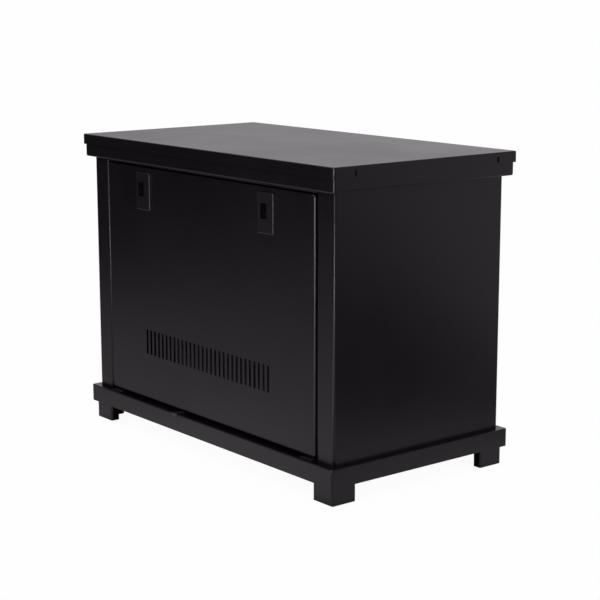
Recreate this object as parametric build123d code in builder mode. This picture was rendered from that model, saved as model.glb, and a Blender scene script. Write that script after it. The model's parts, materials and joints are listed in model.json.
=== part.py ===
"""Floor-standing steel battery box holding four 12 V blocks in series.

Frame: millimetres, +Z up, +X to the right when facing the front, -Y is the front.
Origin on the floor, under the middle of the box.

The cabinet is folded from sheet steel: L-shaped corner feet, a flanged plinth pan, two wrap-round
side panels, a rear panel, a top ring and an overlapping cover.  The front is a shallow pan that
pivots on two clips at its foot and is held at the head by two slide latches.
"""
import math
import os

from build123d import *

os.makedirs("parts", exist_ok=True)

# ------------------------------------------------------------------ shared dimensions
SHEET = 1.5                       # sheet thickness
HEIGHT = 480.0                    # floor to top of cover
RING_TOP = HEIGHT - SHEET
BODY_TOP = RING_TOP - SHEET
BODY_W, BODY_D = 615.0, 325.0
BODY_REAR = BODY_D / 2
BODY_FRONT = -BODY_REAR
REAR_INNER = BODY_REAR - 2 * SHEET  # inner face of the rear panel
BEND_R = 4.0                      # outside radius of the body folds

FOOT_W, FOOT_D, FOOT_H = 622.5, 335.5, 28.5   # width and depth over all four feet
FOOT_ARM, FOOT_THICK = 43.5, 15.5
PLINTH_W, PLINTH_D, PLINTH_H = 636.0, 348.0, 27.5
FLOOR_Z = FOOT_H + PLINTH_H       # top of the plinth pan

POST_IN = 269.5                   # half width between the folded front posts
SEAT_IN = 256.0                   # half width between the seal flanges
SEAT_Y = -146.0                   # front face of the seal flanges
RAIL_Z, RAIL_FOOT_Z = 439.3, 424.0  # underside and seal leg of the top rail

PANEL_HALF_W = 266.5
PANEL_Z0, PANEL_Z1 = 59.5, 438.0
PANEL_FRONT, PANEL_BACK = -163.75, -149.75
VENT_PITCH, VENT_W, VENT_H, VENT_Z = 11.0, 5.2, 40.5, 155.3
LATCH_X, LATCH_Z = 159.0, 399.5
HOUSING_W, HOUSING_H = 26, 50     # latch housing behind the sheet
TONGUE_Y = -157.7                 # middle of the slots for the latch tongues
TONGUE_SLOT_W, TONGUE_SLOT_D = 21, 3.1
HINGE_X, HINGE_Y, HINGE_Z, HINGE_R = 250.0, -156.0, 66.0, 2.0
EARTH_X, EARTH_Z = 270.0, 90.0

SIDES = (("left", -1), ("right", 1))
CORNER = (Align.MIN, Align.MIN)


# ------------------------------------------------------------------ helpers
def at_x(x):
    """Sketch plane facing +X; sketch axes are Y and Z."""
    return Plane.YZ.offset(x)


def at_y(y):
    """Sketch plane facing the front (-Y); a negative extrusion runs to the rear."""
    return Plane.XZ.offset(-y)


def at_z(z):
    """Sketch plane facing up."""
    return Plane.XY.offset(z)


def pair(x, y):
    """A sketch point and its mirror image about the sketch's own vertical axis."""
    return (-x, y), (x, y)


def save(part, name):
    part.label = name
    export_step(part, f"parts/{name}.step")


def save_mirrored(part, name, *planes):
    with BuildPart() as copy:
        for plane in planes:
            part = mirror(part, about=plane, mode=Mode.PRIVATE)
        add(part)
    save(copy.part, name)


# ------------------------------------------------------------------ feet and plinth
def make_feet():
    with BuildPart() as foot:
        with BuildSketch():
            with Locations((-FOOT_W / 2, -FOOT_D / 2)):
                Rectangle(FOOT_ARM, FOOT_THICK, align=CORNER)
                Rectangle(FOOT_THICK, FOOT_ARM, align=CORNER)
        extrude(amount=FOOT_H)
        fillet(foot.edges().filter_by(Axis.Z), 3.0)
        # pressed cup, open at the top where it is welded to the plinth flange
        arm, thick = FOOT_ARM - 2 * SHEET, FOOT_THICK - 2 * SHEET
        with BuildSketch(at_z(SHEET)):
            with Locations((-FOOT_W / 2 + SHEET, -FOOT_D / 2 + SHEET)):
                Rectangle(arm, thick, align=CORNER)
                Rectangle(thick, arm, align=CORNER)
        extrude(amount=FOOT_H, mode=Mode.SUBTRACT)
        fillet(foot.faces().sort_by(Axis.Z)[0].outer_wire().edges(), 0.9)
    save(foot.part, "foot_front_left")
    save_mirrored(foot.part, "foot_front_right", Plane.YZ)
    save_mirrored(foot.part, "foot_rear_left", Plane.XZ)
    save_mirrored(foot.part, "foot_rear_right", Plane.YZ, Plane.XZ)


PLINTH_CORNER = 4.0
PLINTH_FLANGE = 22                # width of the flange under the pan


def make_plinth_pan():
    with BuildPart() as pan:
        with BuildSketch(at_z(FOOT_H)):
            RectangleRounded(PLINTH_W, PLINTH_D, PLINTH_CORNER)
        extrude(amount=PLINTH_H)
        fillet(pan.faces().sort_by(Axis.Z)[-1].edges(), 1.6)
        with BuildSketch(at_z(FOOT_H + SHEET)):
            RectangleRounded(PLINTH_W - 2 * SHEET, PLINTH_D - 2 * SHEET, PLINTH_CORNER - SHEET)
        extrude(amount=PLINTH_H - 2 * SHEET, mode=Mode.SUBTRACT)
        with BuildSketch(at_z(FOOT_H)):
            Rectangle(PLINTH_W - 2 * PLINTH_FLANGE, PLINTH_D - 2 * PLINTH_FLANGE)
        extrude(amount=SHEET, mode=Mode.SUBTRACT)
    save(pan.part, "plinth_pan")


# ------------------------------------------------------------------ side panels
REAR_FLANGE = 22                  # side panel flange that carries the rear panel
SCREW_X = (BODY_W - REAR_FLANGE) / 2
SCREW_Z = [250.0 + i * 90.0 for i in range(-2, 3)]
SCREW_HOLE_R = 2.1


def make_side_panels():
    with BuildPart() as side:
        with BuildSketch(at_z(FLOOR_Z)):
            with BuildLine():
                skin = FilletPolyline(
                    (SEAT_IN, SEAT_Y), (POST_IN, SEAT_Y), (POST_IN, BODY_FRONT),
                    (BODY_W / 2, BODY_FRONT), (BODY_W / 2, BODY_REAR),
                    (BODY_W / 2 - REAR_FLANGE, BODY_REAR),
                    radius=BEND_R,
                )
                offset(skin, amount=SHEET, side=Side.LEFT, closed=True)
            make_face()
        extrude(amount=BODY_TOP - FLOOR_Z)
        # screw holes in the rear flange
        with BuildSketch(at_y(BODY_REAR)):
            with Locations(*[(SCREW_X, z) for z in SCREW_Z]):
                Circle(SCREW_HOLE_R)
        extrude(amount=SHEET, mode=Mode.SUBTRACT)
        # the seal flange stops under the top rail
        with BuildSketch(at_z(RAIL_FOOT_Z - 0.1)):
            with Locations((POST_IN - 0.05, SEAT_Y + 3)):
                Rectangle(20, 8, align=(Align.MAX, Align.MAX))
        extrude(amount=60, mode=Mode.SUBTRACT)
    save(side.part, "side_panel_right")
    save_mirrored(side.part, "side_panel_left", Plane.YZ)


# ------------------------------------------------------------------ rear panel
REAR_SCREWS = [(sx * SCREW_X, z) for sx in (-1, 1) for z in SCREW_Z]
REAR_SCREW_HEAD = 2.0             # head height
REAR_VENT_X, REAR_VENT_COUNT = -150, 18
GROMMET_X, GROMMET_Z, GROMMET_HOLE_R = (60, 110), 410, 11
# radius, distance behind the inner face of the rear panel
GROMMET_PROFILE = (
    (8, -2.95), (13.2, -2.95), (14, -2.15), (14, -0.05), (11, -0.05),
    (11, 1.55), (14, 1.55), (14, 3.65), (13.2, 4.45), (8, 4.45),
)


def make_rear_panel():
    with BuildPart() as panel:
        with BuildSketch(at_y(REAR_INNER)):
            with Locations((0, 266.4)):
                Rectangle(606.6, 420.0)
            with Locations(*REAR_SCREWS):
                Circle(SCREW_HOLE_R, mode=Mode.SUBTRACT)
            with Locations(*[(x, GROMMET_Z) for x in GROMMET_X]):
                Circle(GROMMET_HOLE_R, mode=Mode.SUBTRACT)
            for vent_z in (400, VENT_Z):
                with Locations((REAR_VENT_X, vent_z)):
                    with GridLocations(VENT_PITCH, 1, REAR_VENT_COUNT, 1):
                        Rectangle(VENT_W, VENT_H, mode=Mode.SUBTRACT)
            with Locations((EARTH_X, EARTH_Z)):
                Circle(3.5, mode=Mode.SUBTRACT)
        extrude(amount=-SHEET)
    save(panel.part, "rear_panel")


def make_rear_panel_screws():
    with BuildPart() as screws:
        with BuildSketch(at_y(BODY_REAR)):
            with Locations(*REAR_SCREWS):
                Circle(3.8)
        extrude(amount=-REAR_SCREW_HEAD)
        fillet(screws.edges().group_by(Axis.Y)[-1], 1.2)
        # shanks
        with BuildSketch(at_y(BODY_REAR)):
            with Locations(*REAR_SCREWS):
                Circle(2.0)
        extrude(amount=7)
        # cross recesses
        with BuildSketch(at_y(BODY_REAR + REAR_SCREW_HEAD)):
            with Locations(*REAR_SCREWS):
                Rectangle(4.2, 0.9)
                Rectangle(0.9, 4.2)
        extrude(amount=1.1, mode=Mode.SUBTRACT)
    save(screws.part, "rear_panel_screws")


def make_cable_grommets():
    with BuildPart() as grommets:
        for x in GROMMET_X:
            with BuildSketch(at_z(GROMMET_Z)):
                with BuildLine():
                    outline = [(x + radius, REAR_INNER + y) for radius, y in GROMMET_PROFILE]
                    Polyline(*outline, close=True)
                make_face()
            revolve(axis=Axis((x, 0, GROMMET_Z), (0, 1, 0)))
    save(grommets.part, "cable_grommets")


# ------------------------------------------------------------------ top ring and cover
RING_W, RING_D, RING_Z, RING_CORNER = 638.0, 347.0, 443.5, 3.4
RING_FLANGE = 23                  # width of the ring's upper flange
COVER_W, COVER_D, COVER_SKIRT, COVER_CORNER = 644.0, 352.5, 16.5, 3.6
LOCKS = pair(137.0, 469.6)        # cover locking screws, in Y and Z
RIVET_BORE_R = 2.02


def make_top_ring():
    with BuildPart() as ring:
        with BuildSketch(at_z(RING_Z)):
            RectangleRounded(RING_W, RING_D, RING_CORNER)
        extrude(amount=RING_TOP - RING_Z)
        fillet(ring.faces().sort_by(Axis.Z)[0].edges(), 2.8)
        with BuildSketch(at_z(RING_Z + SHEET)):
            RectangleRounded(RING_W - 2 * SHEET, RING_D - 2 * SHEET, RING_CORNER - SHEET)
        extrude(amount=RING_TOP - RING_Z - 2 * SHEET, mode=Mode.SUBTRACT)
        # opening round the body, then the opening in the top
        with BuildSketch(at_z(RING_Z)):
            RectangleRounded(BODY_W + 0.4, BODY_D + 0.4, BEND_R)
        extrude(amount=SHEET, mode=Mode.SUBTRACT)
        with BuildSketch(at_z(RING_TOP - SHEET)):
            Rectangle(RING_W - 2 * RING_FLANGE, RING_D - 2 * RING_FLANGE)
        extrude(amount=SHEET, mode=Mode.SUBTRACT)
        with BuildSketch(Plane.YZ):
            with Locations(*LOCKS):
                Circle(3.03)
        extrude(amount=RING_W, both=True, mode=Mode.SUBTRACT)
    save(ring.part, "top_ring")


def make_top_cover():
    with BuildPart() as cover:
        with BuildSketch(at_z(HEIGHT - COVER_SKIRT)):
            RectangleRounded(COVER_W, COVER_D, COVER_CORNER)
        extrude(amount=COVER_SKIRT)
        fillet(cover.faces().sort_by(Axis.Z)[-1].edges(), 1.8)
        with BuildSketch(at_z(HEIGHT - COVER_SKIRT)):
            RectangleRounded(COVER_W - 2 * SHEET, COVER_D - 2 * SHEET, COVER_CORNER - SHEET)
        extrude(amount=COVER_SKIRT - SHEET, mode=Mode.SUBTRACT)
        with BuildSketch(Plane.YZ):
            with Locations(*LOCKS):
                SlotOverall(8.8, 4.4, rotation=90)
        extrude(amount=COVER_W, both=True, mode=Mode.SUBTRACT)
    save(cover.part, "top_cover")


def make_cover_rivet_nuts():
    """Rivet nuts in the ring: a body behind the sheet and a neck through it."""
    with BuildPart() as nuts:
        for sx in (1, -1):
            for radius, length in ((4.5, -sx * 9), (3.0, sx * SHEET)):
                with BuildSketch(at_x(sx * (RING_W / 2 - SHEET))):
                    with Locations(*LOCKS):
                        Circle(radius)
                        Circle(RIVET_BORE_R, mode=Mode.SUBTRACT)
                extrude(amount=length)
    save(nuts.part, "cover_rivet_nuts")


def make_cover_lock_screws():
    """Socketed grub screws that stand into the cover's slots."""
    with BuildPart() as screws:
        for sx in (1, -1):
            outer_end = at_x(sx * (COVER_W / 2 - 1.1))
            with BuildSketch(outer_end):
                with Locations(*LOCKS):
                    Circle(2.0)
            extrude(amount=-sx * 10)
            with BuildSketch(outer_end):
                with Locations(*LOCKS):
                    RegularPolygon(1.15, 6)
            extrude(amount=-sx * 2.2, mode=Mode.SUBTRACT)
    save(screws.part, "cover_lock_screws")


# ------------------------------------------------------------------ front opening
RAIL_HALF_W = POST_IN - 0.2
SILL_HALF_W = POST_IN - 14.2
FRAME_BEND_R = 1.8


def make_front_top_rail():
    with BuildPart() as rail:
        with BuildSketch(at_x(-RAIL_HALF_W)):
            with BuildLine():
                skin = FilletPolyline(
                    (BODY_FRONT, BODY_TOP), (BODY_FRONT, RAIL_Z),
                    (SEAT_Y, RAIL_Z), (SEAT_Y, RAIL_FOOT_Z),
                    radius=FRAME_BEND_R,
                )
                offset(skin, amount=SHEET, side=Side.LEFT, closed=True)
            make_face()
        extrude(amount=2 * RAIL_HALF_W)
        # slots for the latch tongues
        with BuildSketch(at_z(434)):
            with Locations(*pair(LATCH_X, TONGUE_Y)):
                Rectangle(TONGUE_SLOT_W, TONGUE_SLOT_D)
        extrude(amount=7, mode=Mode.SUBTRACT)
    save(rail.part, "front_top_rail")


def make_front_sill():
    with BuildPart() as sill:
        with BuildSketch(at_x(-SILL_HALF_W)):
            with BuildLine():
                skin = FilletPolyline(
                    (SEAT_Y, 92.0), (SEAT_Y, FLOOR_Z), (-133.0, FLOOR_Z), radius=FRAME_BEND_R,
                )
                offset(skin, amount=SHEET, side=Side.LEFT, closed=True)
            make_face()
        extrude(amount=2 * SILL_HALF_W)
    save(sill.part, "front_sill")


def make_panel_seal():
    with BuildPart() as seal:
        with BuildSketch(at_y(-149.5)):
            with Locations((0, 80)):
                Rectangle(2 * (POST_IN - 4.5), 354, align=(Align.CENTER, Align.MIN))
            with Locations((0, 89)):
                Rectangle(2 * (SEAT_IN + 0.8), 336, align=(Align.CENTER, Align.MIN),
                          mode=Mode.SUBTRACT)
        extrude(amount=-3.45)
    save(seal.part, "panel_seal")


# ------------------------------------------------------------------ hinges and bond tab
BRACKET_W, BRACKET_GAP = 24, 20   # overall width, and gap between the two cheeks
BRACKET_LEAF = 2.0                # thickness of the upright leaf
HINGE_PLATE = 1.2                 # thickness of the bracket foot under the panel
CLIP_W, CLIP_R = 16, 3.6
BOND_X, BOND_W, BOND_T, BOND_DROP = -70, 14, 0.6, 4.5


def make_hinge_pins():
    with BuildPart() as pins:
        with Locations(*[
            Plane(origin=(x, HINGE_Y, HINGE_Z), z_dir=(1, 0, 0)) for x in (-HINGE_X, HINGE_X)
        ]):
            Cylinder(HINGE_R, 25)
        chamfer(pins.edges().filter_by(GeomType.CIRCLE), 0.4)
    save(pins.part, "hinge_pins")


def make_hinge_bracket(side, x):
    leaf_front = SEAT_Y - BRACKET_LEAF
    plate_top = FLOOR_Z + HINGE_PLATE
    with BuildPart() as bracket:
        with BuildSketch(at_x(x - BRACKET_W / 2)):
            with BuildLine():
                Polyline(
                    (SEAT_Y, FLOOR_Z), (SEAT_Y, HINGE_Z + 10), (leaf_front, HINGE_Z + 10),
                    (-154.0, HINGE_Z + 4), (-157.0, HINGE_Z + 4), (-159.6, HINGE_Z + 1.6),
                    (-159.6, HINGE_Z - 1.6), (-158.0, HINGE_Z - 3), (leaf_front, HINGE_Z - 3),
                    (leaf_front, plate_top), (-167.0, plate_top), (-167.0, FLOOR_Z),
                    close=True,
                )
            make_face()
        extrude(amount=BRACKET_W)
        # gap between the cheeks
        with BuildSketch(at_x(x - BRACKET_GAP / 2)):
            with Locations((leaf_front, plate_top)):
                Rectangle(20, 25, align=(Align.MAX, Align.MIN))
        extrude(amount=BRACKET_GAP, mode=Mode.SUBTRACT)
        with Locations(Plane(origin=(x, HINGE_Y, HINGE_Z), z_dir=(1, 0, 0))):
            Cylinder(HINGE_R + 0.02, 70, mode=Mode.SUBTRACT)
    save(bracket.part, f"hinge_bracket_{side}")


def make_hinge_clip(side, x):
    """C-shaped snap clip under a tab on the panel; the mouth faces down and forward."""
    tab_front = PANEL_FRONT + SHEET
    tab_back = tab_front + SHEET
    tab_under = HINGE_Z + CLIP_R - SHEET
    with BuildPart() as clip:
        with BuildSketch(at_x(x - CLIP_W / 2)):
            with Locations((HINGE_Y, HINGE_Z)):
                Circle(CLIP_R)
                Circle(HINGE_R + 0.06, mode=Mode.SUBTRACT)
                with BuildLine():
                    Polyline(
                        (HINGE_Y, HINGE_Z), (HINGE_Y - 6, HINGE_Z), (HINGE_Y - 6, HINGE_Z - 8),
                        (HINGE_Y + 2.7, HINGE_Z - 4.676), close=True,
                    )
                make_face(mode=Mode.SUBTRACT)
            with BuildLine():
                Polyline(
                    (tab_front, tab_under), (HINGE_Y, tab_under), (HINGE_Y, HINGE_Z + CLIP_R),
                    (tab_back, HINGE_Z + CLIP_R), (tab_back, HINGE_Z + 25),
                    (tab_front, HINGE_Z + 25), close=True,
                )
            make_face()
        extrude(amount=CLIP_W)
    save(clip.part, f"hinge_clip_{side}")


def make_bond_tab():
    """Tab folded over the plinth edge, where the panel's earth strap is screwed down."""
    edge = -PLINTH_D / 2
    with BuildPart() as tab:
        with BuildSketch(at_x(BOND_X - BOND_W / 2)):
            with BuildLine():
                Polyline(
                    (-150.0, FLOOR_Z), (edge, FLOOR_Z), (edge, FLOOR_Z - BOND_DROP),
                    (edge - BOND_T, FLOOR_Z - BOND_DROP), (edge - BOND_T, FLOOR_Z + BOND_T),
                    (-150.0, FLOOR_Z + BOND_T), close=True,
                )
            make_face()
        extrude(amount=BOND_W)
    save(tab.part, "bond_tab")


# ------------------------------------------------------------------ front panel
PANEL_EDGE = 4.2                  # outside radius round the panel's front edge
PANEL_CORNER = PANEL_EDGE + 0.3
PANEL_W, PANEL_H = 2 * PANEL_HALF_W, PANEL_Z1 - PANEL_Z0
PANEL_MID_Z = (PANEL_Z0 + PANEL_Z1) / 2
VENT_COUNT = 30


def make_front_panel():
    with BuildPart() as panel:
        with BuildSketch(at_y(PANEL_FRONT)):
            with Locations((0, PANEL_MID_Z)):
                RectangleRounded(PANEL_W, PANEL_H, PANEL_CORNER)
        extrude(amount=PANEL_FRONT - PANEL_BACK)
        fillet(panel.faces().sort_by(Axis.Y)[0].edges(), PANEL_EDGE)
        with BuildSketch(at_y(PANEL_BACK)):
            with Locations((0, PANEL_MID_Z)):
                RectangleRounded(PANEL_W - 2 * SHEET, PANEL_H - 2 * SHEET, PANEL_CORNER - SHEET)
        extrude(amount=PANEL_BACK - PANEL_FRONT - SHEET, mode=Mode.SUBTRACT)
        inner_face = panel.faces().filter_by(Axis.Y).sort_by(Axis.Y)[1]
        fillet(inner_face.edges(), PANEL_EDGE - SHEET)
        # vents and latch cut-outs
        with BuildSketch(at_y(PANEL_FRONT - 1)):
            with Locations((0, VENT_Z)):
                with GridLocations(VENT_PITCH, 1, VENT_COUNT, 1):
                    RectangleRounded(VENT_W, VENT_H, 0.8)
            with Locations(*pair(LATCH_X, LATCH_Z)):
                Rectangle(HOUSING_W + 0.6, HOUSING_H + 0.6)
        extrude(amount=-(SHEET + 2), mode=Mode.SUBTRACT)
        # slots for the latch tongues in the top flange
        with BuildSketch(at_z(PANEL_Z1 - 3)):
            with Locations(*pair(LATCH_X, TONGUE_Y)):
                Rectangle(TONGUE_SLOT_W, TONGUE_SLOT_D)
        extrude(amount=5, mode=Mode.SUBTRACT)
        # hinge notches in the bottom flange
        with BuildSketch(at_z(PANEL_Z0 - 1)):
            with Locations(*pair(HINGE_X, PANEL_BACK + 1)):
                Rectangle(28, 11.4, align=(Align.CENTER, Align.MAX))
        extrude(amount=3, mode=Mode.SUBTRACT)
    save(panel.part, "front_panel")


# ------------------------------------------------------------------ slide latches
LATCH_W, LATCH_H, LATCH_T = 37.0, 60.0, 4.0
LATCH_BACK = -156.1               # back face of the latch housing
BACK_PLATE_T = 1.5
THUMB_X, THUMB_Z = -3.0, 3.5      # thumb window, from the middle of the latch
THUMB_W, THUMB_H = 15.0, 23.0
SLIDE_W, SLIDE_T, SLIDE_FRONT = 18, 2.5, -158.9
SLIDE_Z0, SLIDE_Z1 = 378, 436
SLIDE_PLAY = 0.3
PAD_T, PAD_DZ = 4.4, -3.0         # thumb pad: height off the slide, and place on the latch
# snap wedge: distance from the middle of the latch, Y
WEDGE = ((12.9, -162.2), (14.3, -161.8), (14.3, -161.2), (12.9, -158.2))


def latch_screw_points(x):
    return [(x - 11.15, LATCH_Z + 18), (x + 11.15, LATCH_Z - 18)]


def make_latch_body(side, x):
    with BuildPart() as body:
        with BuildSketch(at_y(PANEL_FRONT)):
            with Locations((x, LATCH_Z)):
                RectangleRounded(LATCH_W, LATCH_H, 2.2)
        extrude(amount=LATCH_T)
        fillet(body.faces().sort_by(Axis.Y)[0].edges(), 1.9)
        # raised bezel round the thumb window
        with BuildSketch(at_y(PANEL_FRONT - LATCH_T + 0.2)):
            with Locations((x + THUMB_X, LATCH_Z + THUMB_Z)):
                RectangleRounded(THUMB_W + 5, THUMB_H + 5, 2.5)
        extrude(amount=1.0)
        # housing behind the sheet
        with BuildSketch(at_y(PANEL_FRONT)):
            with Locations((x, LATCH_Z)):
                Rectangle(HOUSING_W, HOUSING_H)
        extrude(amount=PANEL_FRONT - LATCH_BACK)
        # thumb window
        with BuildSketch(at_y(PANEL_FRONT - LATCH_T - 2)):
            with Locations((x + THUMB_X, LATCH_Z + THUMB_Z)):
                RectangleRounded(THUMB_W, THUMB_H, 1.2)
        extrude(amount=-12, mode=Mode.SUBTRACT)
        # channel for the slide, open top and bottom
        with BuildSketch(at_y(SLIDE_FRONT - SLIDE_PLAY)):
            with Locations((x, LATCH_Z)):
                Rectangle(SLIDE_W + 2 * SLIDE_PLAY, HOUSING_H + 2)
        extrude(amount=-4, mode=Mode.SUBTRACT)
        # snap wedges that grip behind the sheet
        for sx in (-1, 1):
            with BuildSketch(at_z(LATCH_Z - 8)):
                with BuildLine():
                    Polyline(*[(x + sx * out, y) for out, y in WEDGE], close=True)
                make_face()
            extrude(amount=16)
        # pilot holes for the back plate
        with BuildSketch(at_y(LATCH_BACK)):
            with Locations(*latch_screw_points(x)):
                Circle(0.95)
        extrude(amount=4, mode=Mode.SUBTRACT)
    save(body.part, f"latch_{side}_body")


def make_latch_slide(side, x):
    with BuildPart() as slide:
        with BuildSketch(at_y(SLIDE_FRONT)):
            with Locations((x, SLIDE_Z0)):
                Rectangle(SLIDE_W, SLIDE_Z1 - SLIDE_Z0, align=(Align.CENTER, Align.MIN))
        extrude(amount=-SLIDE_T)
        chamfer(slide.faces().sort_by(Axis.Z)[-1].edges().filter_by(Axis.X), 0.8)
        # thumb pad with three grooves
        with BuildSketch(at_y(SLIDE_FRONT)):
            with Locations((x + THUMB_X, LATCH_Z + PAD_DZ)):
                RectangleRounded(THUMB_W - 2, 8, 0.8)
        extrude(amount=PAD_T)
        with BuildSketch(at_y(SLIDE_FRONT - PAD_T)):
            with Locations((x + THUMB_X, LATCH_Z + PAD_DZ)):
                with GridLocations(1, 2.4, 1, 3):
                    Rectangle(THUMB_W - 4, 1.0)
        extrude(amount=-0.8, mode=Mode.SUBTRACT)
    save(slide.part, f"latch_{side}_slide")


def make_latch_back_plate(side, x):
    with BuildPart() as plate:
        with BuildSketch(at_y(LATCH_BACK)):
            with Locations((x, LATCH_Z)):
                RectangleRounded(HOUSING_W, HOUSING_H, 2)
            with Locations(*latch_screw_points(x)):
                Circle(1.0, mode=Mode.SUBTRACT)
        extrude(amount=-BACK_PLATE_T)
    save(plate.part, f"latch_{side}_back_plate")


def make_latch_screws():
    points = latch_screw_points(-LATCH_X) + latch_screw_points(LATCH_X)
    with BuildPart() as screws:
        # heads behind the plate, then shanks
        for radius, length in ((1.75, -1.2), (0.9, 4.6)):
            with BuildSketch(at_y(LATCH_BACK + BACK_PLATE_T)):
                with Locations(*points):
                    Circle(radius)
            extrude(amount=length)
    save(screws.part, "latch_screws")


# ------------------------------------------------------------------ batteries
MAT_T = 2.0
BAT_N, BAT_W, BAT_L, BAT_PITCH = 4, 138.0, 229.0, 142.0
BAT_Y, BAT_Z0 = -10.0, FLOOR_Z + SHEET + MAT_T
CASE_H, LID_H, BAT_CORNER = 185.0, 23.0, 4
BAT_X = [(i - (BAT_N - 1) / 2) * BAT_PITCH for i in range(BAT_N)]
GAP_X = [(left + right) / 2 for left, right in zip(BAT_X, BAT_X[1:])]
LID_Z = BAT_Z0 + CASE_H
BAT_TOP = LID_Z + LID_H
CELL_Z, CELL_N, CELL_PITCH = BAT_Z0 + 4, 6, 36.6
WELL_W, WELL_L = BAT_W - 8, 34.6  # cell wells in the case
CELL_PLAY = 0.2
TERM_DX, TERM_Y, TERM_W = 48.0, -96.0, 18
TERM_WELL = 8                     # depth of the terminal wells
TERM_TOP = BAT_TOP + 2.5
TERMINALS = [(x + sx * TERM_DX, TERM_Y) for x in BAT_X for sx in (-1, 1)]
TRAY_W, TRAY_D, TRAY_CORNER = 604.0, 242.0, 4


def make_battery_tray():
    with BuildPart() as tray:
        with BuildSketch(at_z(FLOOR_Z)):
            with Locations((0, BAT_Y)):
                RectangleRounded(TRAY_W, TRAY_D, TRAY_CORNER)
        extrude(amount=20)
        with BuildSketch(at_z(FLOOR_Z + SHEET)):
            with Locations((0, BAT_Y)):
                RectangleRounded(TRAY_W - 2 * SHEET, TRAY_D - 2 * SHEET, TRAY_CORNER - SHEET)
        extrude(amount=20, mode=Mode.SUBTRACT)
    save(tray.part, "battery_tray")


def make_battery_mat():
    with BuildPart() as mat:
        with BuildSketch(at_z(FLOOR_Z + SHEET)):
            with Locations((0, BAT_Y)):
                RectangleRounded(574, 232, 3)
        extrude(amount=MAT_T)
    save(mat.part, "battery_mat")


def make_battery_spacers():
    with BuildPart() as spacers:
        with BuildSketch(at_z(BAT_Z0)):
            with Locations(*[(x, BAT_Y) for x in GAP_X]):
                Rectangle(3.8, 200)
        extrude(amount=150)
    save(spacers.part, "battery_spacers")


def make_battery_case(number, x):
    with BuildPart() as case:
        with BuildSketch(at_z(BAT_Z0)):
            with Locations((x, BAT_Y)):
                RectangleRounded(BAT_W, BAT_L, BAT_CORNER)
        extrude(amount=CASE_H)
        # shallow recessed fields on the front and rear faces leave stiffening ribs
        for face_y in (BAT_Y - BAT_L / 2, BAT_Y + BAT_L / 2):
            with BuildSketch(at_y(face_y)):
                with Locations((x, BAT_Z0 + 92)):
                    with GridLocations(31.5, 1, 4, 1):
                        RectangleRounded(26.5, 140, 2)
            extrude(amount=1.0, both=True, mode=Mode.SUBTRACT)
        # cell wells
        with BuildSketch(at_z(CELL_Z)):
            with Locations((x, BAT_Y)):
                with GridLocations(1, CELL_PITCH, 1, CELL_N):
                    Rectangle(WELL_W, WELL_L)
        extrude(amount=CASE_H, mode=Mode.SUBTRACT)
    save(case.part, f"battery_{number}_case")


def make_battery_lid(number, x):
    with BuildPart() as lid:
        with BuildSketch(at_z(LID_Z)):
            with Locations((x, BAT_Y)):
                RectangleRounded(BAT_W, BAT_L, BAT_CORNER)
        extrude(amount=LID_H)
        fillet(lid.faces().sort_by(Axis.Z)[-1].edges(), 2.0)
        # shadow groove at the heat-sealed joint
        with BuildSketch(at_z(LID_Z)):
            with Locations((x, BAT_Y)):
                Rectangle(BAT_W + 4, BAT_L + 4)
                RectangleRounded(BAT_W - 1.6, BAT_L - 1.6, 3.4, mode=Mode.SUBTRACT)
        extrude(amount=1.2, mode=Mode.SUBTRACT)
        # terminal wells at the front edge
        with BuildSketch(at_z(BAT_TOP - TERM_WELL)):
            with Locations((x - TERM_DX, TERM_Y), (x + TERM_DX, TERM_Y)):
                RectangleRounded(30, 30, 3)
        extrude(amount=10, mode=Mode.SUBTRACT)
        # raised vent cover and two grip recesses
        with BuildSketch(at_z(BAT_TOP - 1)):
            with Locations((x, BAT_Y + 4)):
                RectangleRounded(34, 150, 5)
        extrude(amount=2.5)
        with BuildSketch(at_z(BAT_TOP - 4)):
            with Locations((x - 44, BAT_Y + 10), (x + 44, BAT_Y + 10)):
                RectangleRounded(22, 110, 4)
        extrude(amount=6, mode=Mode.SUBTRACT)
    save(lid.part, f"battery_{number}_lid")


def make_battery_cells():
    with BuildPart() as cells:
        with BuildSketch(at_z(CELL_Z)):
            with Locations(*[(x, BAT_Y) for x in BAT_X]):
                with GridLocations(1, CELL_PITCH, 1, CELL_N):
                    Rectangle(WELL_W - 2 * CELL_PLAY, WELL_L - 2 * CELL_PLAY)
        extrude(amount=162)
    save(cells.part, "battery_cells")


# ------------------------------------------------------------------ terminals and links
LINK_T, LINK_HOLE_R = 3, 3.2
LINK_SPAN = BAT_PITCH - 2 * TERM_DX
SLEEVE_LENGTH = 22
BOLT_FLANGE_T = 1.2


def make_terminal_posts():
    with BuildPart() as posts:
        with BuildSketch(at_z(BAT_TOP - TERM_WELL)):
            with Locations(*TERMINALS):
                RectangleRounded(TERM_W, TERM_W, 1.5)
        extrude(amount=TERM_TOP - BAT_TOP + TERM_WELL)
        with BuildSketch(at_z(TERM_TOP)):
            with Locations(*TERMINALS):
                Circle(3.05)
        extrude(amount=-9, mode=Mode.SUBTRACT)
    save(posts.part, "battery_terminal_posts")


def make_battery_links():
    with BuildPart() as links:
        with BuildSketch(at_z(TERM_TOP)):
            with Locations(*[(x, TERM_Y) for x in GAP_X]):
                RectangleRounded(LINK_SPAN + TERM_W, TERM_W, 4)
                with GridLocations(LINK_SPAN, 1, 2, 1):
                    Circle(LINK_HOLE_R, mode=Mode.SUBTRACT)
        extrude(amount=LINK_T)
    save(links.part, "battery_links")


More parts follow.
